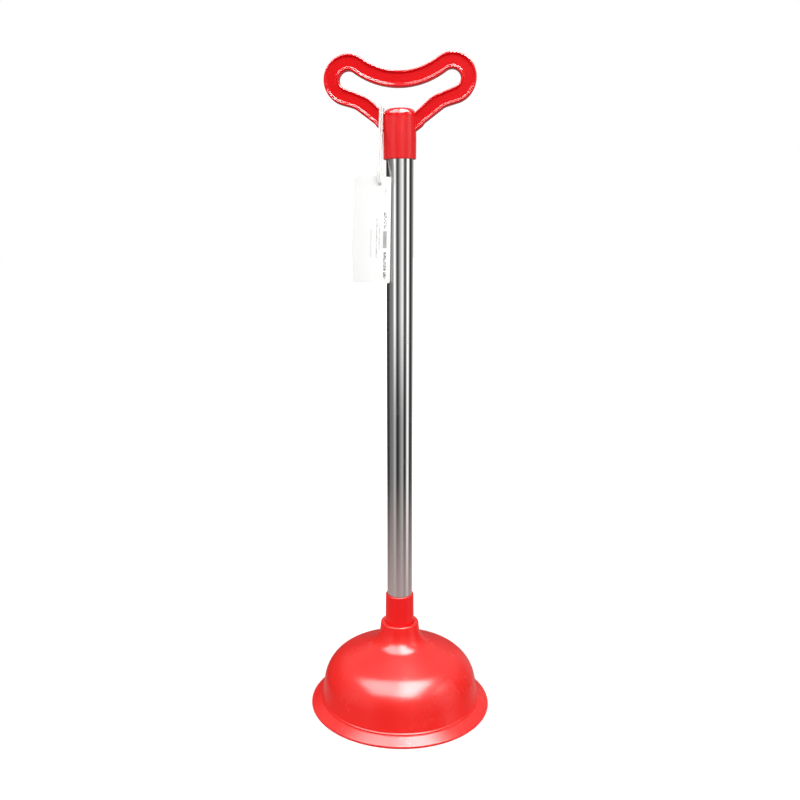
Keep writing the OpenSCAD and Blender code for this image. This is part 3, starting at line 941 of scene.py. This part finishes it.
@dataclass(frozen=True)
class TagString:
    """The cotton string: from its knot twice out through the card's hole, over the left arm and back to the knot."""

    twine: Twine = field(default_factory=Twine)
    ring_step: float = 0.3
    knot: tuple[float, float, float] = (-0.0140, -0.0092, 0.4673)
    route: tuple[tuple[float, float, float], ...] = (
        (-0.0140, -0.0092, 0.4673),
        (-0.0139, -0.0116, 0.4646),
        (-0.0140, -0.0131, 0.4619),
        (-0.0142, -0.0141, 0.4597),
        (-0.01425, -0.0163, 0.4587),
        (-0.0143, -0.0188, 0.4595),
        (-0.0144, -0.0203, 0.4621),
        (-0.0145, -0.0190, 0.4735),
        (-0.0144, -0.0134, 0.4885),
        (-0.0140, -0.0076, 0.5025),
        (-0.0137, -0.0062, 0.5125),
        (-0.0135, -0.0055, 0.5170),
        (-0.0134, -0.0028, 0.5184),
        (-0.0134, 0.0028, 0.5184),
        (-0.0135, 0.0055, 0.5170),
        (-0.0137, 0.0062, 0.5125),
        (-0.0146, 0.0058, 0.5005),
        (-0.0149, 0.0020, 0.4885),
        (-0.0152, -0.0042, 0.4775),
        (-0.0170, -0.0104, 0.4680),
        (-0.0164, -0.0131, 0.4619),
        (-0.0159, -0.0142, 0.4596),
        (-0.01585, -0.0165, 0.4587),
        (-0.0159, -0.0192, 0.4595),
        (-0.0160, -0.0210, 0.4621),
        (-0.0162, -0.0198, 0.4735),
        (-0.0161, -0.0138, 0.4885),
        (-0.0157, -0.0076, 0.5035),
        (-0.0154, -0.0062, 0.5139),
        (-0.0152, -0.0055, 0.5185),
        (-0.0151, -0.0028, 0.5199),
        (-0.0151, 0.0028, 0.5199),
        (-0.0152, 0.0055, 0.5185),
        (-0.0154, 0.0062, 0.5139),
        (-0.0163, 0.0058, 0.5015),
        (-0.0167, 0.0024, 0.4895),
        (-0.0162, -0.0026, 0.4785),
        (-0.0149, -0.0066, 0.4710),
        (-0.0140, -0.0088, 0.4677),
    )

    def line(self) -> np.ndarray:
        """The smooth middle line in millimetres, with its rings evenly spaced."""
        fine = smoothed(np.array(self.route) / MM, 24)
        length = distances(fine)[-1]
        return spaced(fine, np.linspace(0, length, int(length / self.ring_step) + 1))

    def build(self) -> bpy.types.Object:
        """The twisted string along its route."""
        piece = build("tag_string_twine", [self.twine.tube(self.line())], sharp=180)
        piece.data.materials.append(COTTON.material())
        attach(piece, Body.STICK.value)
        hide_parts("tag_string")
        return piece

    def declare(self) -> None:
        """Works out the cord's middle line in metres and the knot's place, and does nothing further with them."""
        path = self.line() * MM
        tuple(self.knot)


@dataclass(frozen=True)
class Knot:
    """The overhand knot that closes the string, with its two cut ends."""

    twine: Twine = field(default_factory=lambda: Twine(diameter=1.35, pitch=4.2, around=24))
    centre: tuple[float, float, float] = (-14.0, -9.2, 467.3)
    spread: float = 0.52

    def turns(self) -> np.ndarray:
        """The knotted line: (sin t + 2 sin 2t, cos t - 2 cos 2t, -1.4 sin 3t) times spread, over one closed turn."""
        t = np.linspace(0.35, 2 * math.pi + 0.2, 110)
        x, y, z = np.sin(t) + 2 * np.sin(2 * t), np.cos(t) - 2 * np.cos(2 * t), -1.4 * np.sin(3 * t)
        return np.stack([z, x, y], -1) * self.spread + np.array(self.centre)

    def tail(self, lean: tuple[float, float, float], length: float) -> np.ndarray:
        """A short cut end that leaves the knot and hangs a little curved."""
        s = np.linspace(0, 1, 26)[:, None]
        drop = np.array([0.0, 0.0, -length])
        return np.array(self.centre) + np.array(lean) * np.sin(s * 1.4) + drop * s

    def build(self) -> bpy.types.Object:
        """The knot and its ends as one piece."""
        lines = [self.turns(), self.tail((1.4, 0.7, 0), 6.6), self.tail((-0.9, 1.2, 0), 5.6)]
        tubes = [self.twine.tube(line, ends=k > 0) for k, line in enumerate(lines)]
        piece = build("string_knot_tied", tubes, sharp=180)
        piece.data.materials.append(bpy.data.materials[COTTON.name])
        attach(piece, Body.STICK.value)
        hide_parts("string_knot")
        return piece


@dataclass(frozen=True)
class HangTag:
    """The hanging card: twisted a little, with soft corners and a punched hole near its upper right corner."""

    tube: Tube
    width: float = 31.0
    height: float = 84.0
    thick: float = 0.4
    turn_low: float = 5.0
    turn_top: float = 31.0
    hole_r: float = 2.6
    hole_x: float = -15.05
    hole_drop: float = 53.2
    hole_in: float = 10.0
    hole_down: float = 6.6
    front_y: float = -12.0
    lean: float = 0.9
    corner_r: float = 1.6
    around: int = 320
    rings: int = 64

    def twisted(self, x: np.ndarray, y: np.ndarray, z: np.ndarray) -> np.ndarray:
        """Places card points (x from the right edge, y in the thickness, z up) by a turn that grows evenly with z."""
        turn = np.radians(self.turn_low + (self.turn_top - self.turn_low) * z / self.height)
        hole_turn = math.radians(self.turn_top - (self.turn_top - self.turn_low) * self.hole_down / self.height)
        px = x * np.cos(turn) - y * np.sin(turn) + self.hole_in * math.cos(hole_turn)
        py = x * np.sin(turn) + y * np.cos(turn) + self.front_y
        pz = z + self.hole_down - self.height
        lean = math.radians(self.lean)
        qx = px * math.cos(lean) + pz * math.sin(lean) + self.hole_x
        qz = pz * math.cos(lean) - px * math.sin(lean) + self.tube.top - self.hole_drop
        return np.stack([qx, py, qz], -1)

    def surface(self) -> Surface:
        """Rings that grow from the hole over the front, round the edge, and back over the other face."""
        w, h, q = self.width, self.height, self.corner_r
        outline = rounded([(0, 0, q), (0, h, q), (-w, h, q), (-w, 0, q)], closed=True, steps=10)
        outline = refined(np.vstack([outline, outline[:1]]), 0.4)
        outline = spaced(outline, np.arange(self.around) * distances(outline)[-1] / self.around)
        hole = np.array([-self.hole_in, h - self.hole_down])
        ray = outline - hole
        far = np.linalg.norm(ray, axis=1)[:, None]
        inner = hole + ray / far * self.hole_r
        soft = 0.07
        s = np.linspace(0, 1, self.rings) ** 1.15
        lift = np.array([0.0, 0.03, 0.5, 0.97, 1.0]) * self.thick
        tuck = np.array([soft, 0.02, 0.0, 0.02, soft])
        rows = []
        for fraction in s:
            rows.append((inner + (outline - inner) * fraction, 0.0, Side.FRONT))
        shrunk = [outline - ray / far * inset for inset in tuck]
        rows[-1] = (shrunk[0], 0.0, Side.FRONT)
        rows += [(shrunk[k], lift[k], Side.FRONT if k < 3 else Side.BACK) for k in (1, 2, 3)]
        rows.append((shrunk[4], self.thick, Side.BACK))
        for fraction in s[-2::-1]:
            rows.append((inner + (outline - inner) * fraction, self.thick, Side.BACK))
        flat = np.stack([row[0] for row in rows])
        depth = np.array([row[1] for row in rows])[:, None] + 0 * flat[..., 0]
        made = grid(self.twisted(flat[..., 0], depth, flat[..., 1]), wrap_u=True)
        across = 1 + flat[..., 0] / w + np.array([row[2].value for row in rows])[:, None]
        chart = np.stack([across.ravel(), (flat[..., 1] / h).ravel()], -1)
        made.maps = [chart[block] for block in made.faces]
        return made

    def build(self) -> bpy.types.Object:
        """The printed card on its own swinging body."""
        piece = build("hang_tag_card", [self.surface()], sharp=50)
        piece.data.materials.append(CARD.material())
        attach(piece, Body.TAG.value)
        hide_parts("hang_tag")
        return piece


# ---------------------------------------------------------------- studio


class Light(Enum):
    """What a soft box is for: to light the surfaces, or to be mirrored in them."""

    FILL = "fill"
    SHEEN = "sheen"


@dataclass(frozen=True)
class SoftBox:
    """A rectangular soft box that no camera sees, for matt light only or for reflections only."""

    name: str
    use: Light
    place: tuple[float, float, float]
    aim: tuple[float, float, float]
    size: tuple[float, float]
    power: float

    def build(self) -> bpy.types.Object:
        """The lamp, turned from its place towards its aim."""
        data = bpy.data.lights.new(self.name, "AREA")
        data.shape = "RECTANGLE"
        data.size, data.size_y = self.size
        data.energy = self.power
        data.use_nodes = True
        nodes = Nodes(data.node_tree)
        nodes.tree.nodes.clear()
        depth = nodes.put("ShaderNodeLightPath", {}, "Ray Depth")
        once = nodes.maths("LESS_THAN", depth, LAST_SHEEN_DEPTH)
        glow = nodes.put("ShaderNodeEmission", {"Strength": once if self.use is Light.SHEEN else 1.0})
        nodes.put("ShaderNodeOutputLight", {0: glow})
        lamp = bpy.data.objects.new(self.name, data)
        turn = (Vector(self.aim) - Vector(self.place)).to_track_quat("-Z", "Y").to_matrix().to_4x4()
        lamp.matrix_world = Matrix.Translation(self.place) @ turn
        lamp.visible_camera = False
        lamp.visible_glossy = self.use is Light.SHEEN
        lamp.visible_diffuse = self.use is Light.FILL
        bpy.context.scene.collection.objects.link(lamp)
        return lamp


@dataclass(frozen=True)
class Studio:
    """The camera, a white floor, soft boxes, and a surround of pale and dark upright bands."""

    eye: tuple[float, float, float] = (0.0368, -0.7392, 0.4252)
    heading: float = 5.0
    pitch: float = 12.404
    roll: float = -0.447
    lens: float = 39.635
    shift: tuple[float, float] = (0.0407, 0.0270)
    surround: float = 1.0
    boxes: tuple[SoftBox, ...] = (
        SoftBox("key_box", Light.FILL, (0.2, -1.5, 1.6), (0, 0, 0.25), (1.4, 1.0), 17.0),
        SoftBox("left_box", Light.FILL, (-2.2, -0.9, 0.5), (0, 0, 0.25), (1.5, 1.5), 16.5),
        SoftBox("right_box", Light.FILL, (2.2, -0.9, 0.5), (0, 0, 0.25), (1.5, 1.5), 15.0),
        SoftBox("sheen_middle", Light.SHEEN, (0.30, -0.55, 1.08), (0.30, -0.55, 0), (0.60, 1.22), 92.0),
        SoftBox("sheen_left", Light.SHEEN, (-0.50, -0.50, 1.08), (-0.50, -0.50, 0), (0.86, 1.08), 54.0),
        SoftBox("sheen_right", Light.SHEEN, (1.45, -0.35, 1.08), (1.45, -0.35, 0), (0.25, 0.80), 12.0),
    )
    bands: tuple[tuple[float, float], ...] = (
        (-180, 0.15), (-150, 0.05), (-110, 0.05), (-95, 0.2), (-68, 0.25), (-56, 0.5), (-50, 1.3),
        (-41, 1.3), (-32, 0.5), (-27, 0.08), (-15, 0.08), (-5, 0.28), (5, 0.65), (20, 1.1),
        (28, 1.1), (35, 0.3), (42, 0.06), (54, 0.1), (62, 0.6), (68, 1.4), (80, 1.3),
        (90, 0.4), (96, 0.03), (114, 0.04), (128, 0.22), (150, 0.5), (165, 0.15),
    )
    bands_turn: float = 2.85
    front_bands: float = 60.0
    front_fade: float = 12.0
    floor_tint: Colour = (0.52, 0.40, 0.39, 1)
    deep_tint: Colour = (0.05, 0.03, 0.03, 1)
    dome_tint: Colour = (1.1, 1.1, 1.1, 1)
    ambient: tuple[float, float] = (0.45, 0.95)

    def camera(self) -> bpy.types.Object:
        """The camera, turned by its heading, tipped down and rolled, in that order."""
        data = bpy.data.cameras.new("camera")
        data.lens, data.sensor_width = self.lens, 36.0
        data.shift_x, data.shift_y = self.shift
        data.clip_start, data.clip_end = 0.01, 60.0
        data.dof.use_dof = False
        camera = bpy.data.objects.new("camera", data)
        turn = Matrix.Rotation(math.radians(self.heading), 4, "Z")
        tip = Matrix.Rotation(math.radians(90 - self.pitch), 4, "X")
        roll = Matrix.Rotation(math.radians(self.roll), 4, "Z")
        camera.matrix_world = Matrix.Translation(self.eye) @ turn @ tip @ roll
        bpy.context.scene.collection.objects.link(camera)
        bpy.context.scene.camera = camera
        return camera

    def surroundings(self) -> bpy.types.World:
        """The world, which the camera sees as white.

        Its level is a band by compass direction. The bands in front fade below the horizon, and further down all of
        them turn into the even tint of the ground. High up it is an even dome. Matt surfaces see only an even glow,
        which is stronger from above.
        """
        world = bpy.data.worlds.new("studio")
        world.use_nodes = True
        nodes = Nodes(world.node_tree)
        tree, put, span, maths, mixed = nodes.tree, nodes.put, nodes.span, nodes.maths, nodes.mixed
        tree.nodes.clear()

        place = put("ShaderNodeTexCoord", {}, "Generated")
        x, y, z = (put("ShaderNodeSeparateXYZ", {"Vector": place}, axis) for axis in "XYZ")
        back = maths("MULTIPLY", y, -1.0)
        angle = maths("ARCTAN2", x, back)
        start = math.radians(-180 + self.bands_turn)
        ramp = tree.nodes.new("ShaderNodeValToRGB")
        tree.links.new(span(angle, start, start + 2 * math.pi), ramp.inputs[0])
        stops = ramp.color_ramp.elements
        stops.remove(stops[1])
        for k, (degrees, level) in enumerate(self.bands):
            stop = stops[0] if k == 0 else stops.new((degrees + 180) / 360)
            stop.color = (level / 2, level / 2, level / 2, 1)
        aside = maths("ABSOLUTE", angle)
        near, edge = math.radians(self.front_bands - self.front_fade), math.radians(self.front_bands)
        front = span(aside, near, edge, 0.6, 0.15)
        sunk = maths("MULTIPLY", front, span(z, -0.10, -0.21))
        left = maths("MULTIPLY_ADD", 2.0, sunk, 2.0)
        kept = maths("SUBTRACT", 4.0, left)
        bands = put("ShaderNodeVectorMath", {0: ramp.outputs[0], "Scale": kept}, operation="SCALE")
        tinted = mixed(span(z, -0.28, -0.40, 0, 0.85), bands, self.floor_tint)
        ground = mixed(span(z, -0.5, -0.75), tinted, self.deep_tint)
        dome = mixed(span(z, 0.3, 0.6), ground, self.dome_tint)
        seen = put("ShaderNodeBackground", {"Color": (1, 1, 1, 1), "Strength": 1.0})
        lit = put("ShaderNodeBackground", {"Color": dome, "Strength": self.surround})
        even = put("ShaderNodeBackground", {"Strength": span(z, -0.3, 0.3, *self.ambient)})
        camera, diffuse = (put("ShaderNodeLightPath", {}, f"Is {ray} Ray") for ray in ("Camera", "Diffuse"))
        rest = put("ShaderNodeMixShader", {0: diffuse, 1: lit, 2: even})
        put("ShaderNodeOutputWorld", {0: put("ShaderNodeMixShader", {0: camera, 1: rest, 2: seen})})
        bpy.context.scene.world = world
        return world

    def floor(self) -> bpy.types.Object:
        """A round pale floor that glows though it is no lamp, faintly near the object and to pure white away from it;
        no surface mirrors it.
        """
        sides = 96
        a, r = full_turn(sides)[None], np.array([0.0001, 0.2, 0.5, 1.2, 3.0, 12.0])[:, None]
        points = np.stack([r * np.cos(a), r * np.sin(a), 0 * r * a], -1) / MM
        disc = grid(points)
        disc.faces.append(np.arange(sides)[None])
        disc.maps.append(np.zeros((1, sides, 2)))
        floor = build("studio_floor", [disc])
        recipe = Recipe("floor_white")
        far = recipe.put("ShaderNodeVectorMath", {0: recipe.place}, "Value", operation="LENGTH")
        # Painted light: the floor gives off light of its own, more the further it is from the object.
        glow = recipe.span(far, 0.12, 0.75, 0.2, 1.0)
        floor.data.materials.append(
            recipe.finish(
                Base_Color=(0.9, 0.9, 0.9, 1),
                Roughness=0.9,
                Specular_IOR_Level=0.1,
                Emission_Color=(1, 1, 1, 1),
                Emission_Strength=glow,
            )
        )
        floor.visible_glossy = False
        floor.visible_diffuse = False
        return floor

    def build(self) -> None:
        """The lights, the surround and the floor, with colours shown as they are."""
        for box in self.boxes:
            box.build()
        self.surroundings()
        self.floor()
        view = bpy.context.scene.view_settings
        view.view_transform, view.look = "Standard", "None"


def main() -> None:
    """Builds the camera, then the string, then every other piece."""
    logging.basicConfig(level=logging.INFO, format="%(message)s")
    studio, tube = Studio(), Tube()
    studio.camera()
    string = TagString()
    cord = string.build()
    knot = Knot().build()
    string.declare()
    pieces = [cord, knot, HangTag(tube).build(), Cup().build(), Connector(tube).build()]
    pieces += [tube.build(), Handle(tube).build()]
    studio.build()
    for piece in pieces:
        triangles = sum(len(p.vertices) - 2 for p in piece.data.polygons)
        log.info("%s: %d triangles", piece.name, triangles)


if __name__ == "__main__":
    main()
